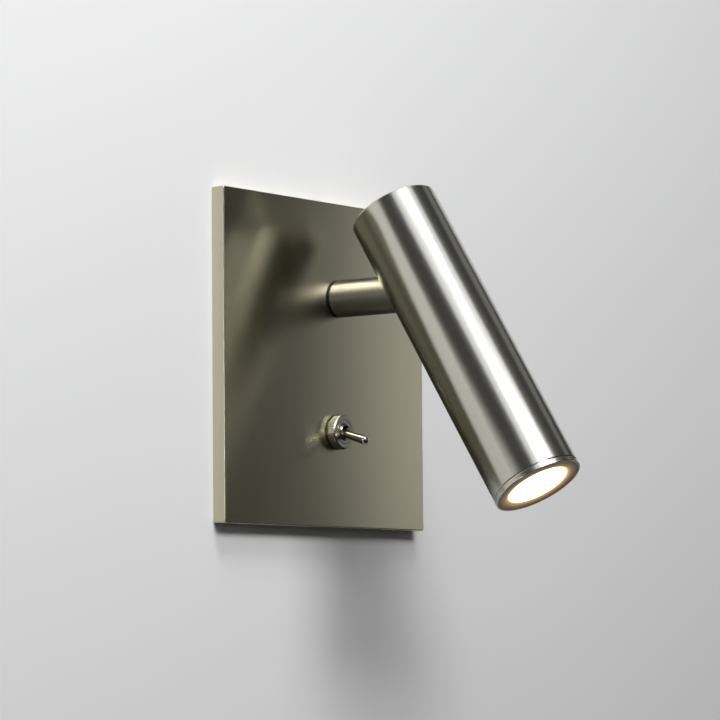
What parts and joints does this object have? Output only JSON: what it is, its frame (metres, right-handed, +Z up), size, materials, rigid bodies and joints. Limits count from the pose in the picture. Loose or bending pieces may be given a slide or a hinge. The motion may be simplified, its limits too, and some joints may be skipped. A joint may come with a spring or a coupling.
{
  "type": "bedside wall reading lamp",
  "caption": "Square satin nickel wall plate with a short swivelling arm, a tilting cylindrical spotlight head and a toggle switch.",
  "frame": {"origin": "on the wall plane at the centre of the square plate, midway between the two wall screw slots", "axes": "+X right along the wall, +Y into the wall, +Z up; the lamp stands out towards -Y"},
  "size_m": [0.12, 0.123, 0.1236],
  "materials": {
    "satin_nickel_steel": "satin nickel plate, fine brushed",
    "satin_nickel_bar": "satin nickel plate on a turned bar",
    "satin_nickel_aluminium": "satin nickel finish, brushed round the tube",
    "satin_nickel_ring": "satin nickel finish, turned face",
    "bright_nickel": "bright nickel plate",
    "black_nylon": "moulded",
    "zinc_plated_steel": "zinc plate",
    "black_steel": "black oxide",
    "die_cast_aluminium": "as cast and turned",
    "bright_aluminium": "polished",
    "white_board": "white solder mask on a metal core",
    "phosphor": "silicone over phosphor",
    "silicone_rubber": "moulded",
    "lit_opal_acrylic": "opal, lit warm white",
    "red_phenolic": "moulded",
    "tinned_brass": "tin plate",
    "white_abs": "moulded, fine texture",
    "natural_nylon": "moulded, slightly translucent"
  },
  "bodies": {
    "wall_unit": {"faceplate": "satin_nickel_steel", "wall_bracket": "zinc_plated_steel", "grub_screws": "black_steel", "swivel_bush": "black_nylon", "swivel_washer": "black_nylon", "led_driver": "white_abs", "driver_screws": "zinc_plated_steel", "terminal_block": "natural_nylon", "terminal_screws": "zinc_plated_steel", "earth_stud": "tinned_brass", "earth_tag": "tinned_brass", "earth_nut": "tinned_brass", "switch_body": "red_phenolic", "switch_bushing": "bright_nickel", "switch_lugs": "tinned_brass", "back_nut": "bright_nickel", "lock_washer": "zinc_plated_steel", "knurled_nut": "bright_nickel"},
    "arm_unit": {"arm": "satin_nickel_bar", "arm_knuckle": "satin_nickel_bar", "stop_washer": "zinc_plated_steel", "spring_washer": "zinc_plated_steel", "swivel_nut": "zinc_plated_steel"},
    "head": {"head_tube": "satin_nickel_aluminium", "end_cap": "satin_nickel_aluminium", "pivot_yoke": "die_cast_aluminium", "pivot_screw": "zinc_plated_steel", "pivot_nut": "zinc_plated_steel", "friction_washers": "black_nylon", "heat_sink": "die_cast_aluminium", "yoke_screws": "zinc_plated_steel", "led_board": "white_board", "led_emitter": "phosphor", "board_screws": "zinc_plated_steel", "reflector": "bright_aluminium", "lens_gasket": "silicone_rubber", "front_lens": "lit_opal_acrylic", "lens_ring": "satin_nickel_ring"},
    "toggle": {"toggle_lever": "bright_nickel"}
  },
  "joints": [
    {"name": "arm_swivel", "type": "hinge", "parent": "wall_unit", "child": "arm_unit", "pos_m": [0.0075, -0.0055, 0.0245], "axis": [0, 1, 0], "range_deg": [-165, 165]},
    {"name": "head_tilt", "type": "hinge", "parent": "arm_unit", "child": "head", "pos_m": [0.0075, -0.0495, 0.0245], "axis": [-1, 0, 0], "range_deg": [-31, 59]},
    {"name": "switch_toggle", "type": "hinge", "parent": "wall_unit", "child": "toggle", "pos_m": [0.0055, -0.0071, -0.025], "axis": [-1, 0, 0], "range_deg": [0, 34]}
  ]
}
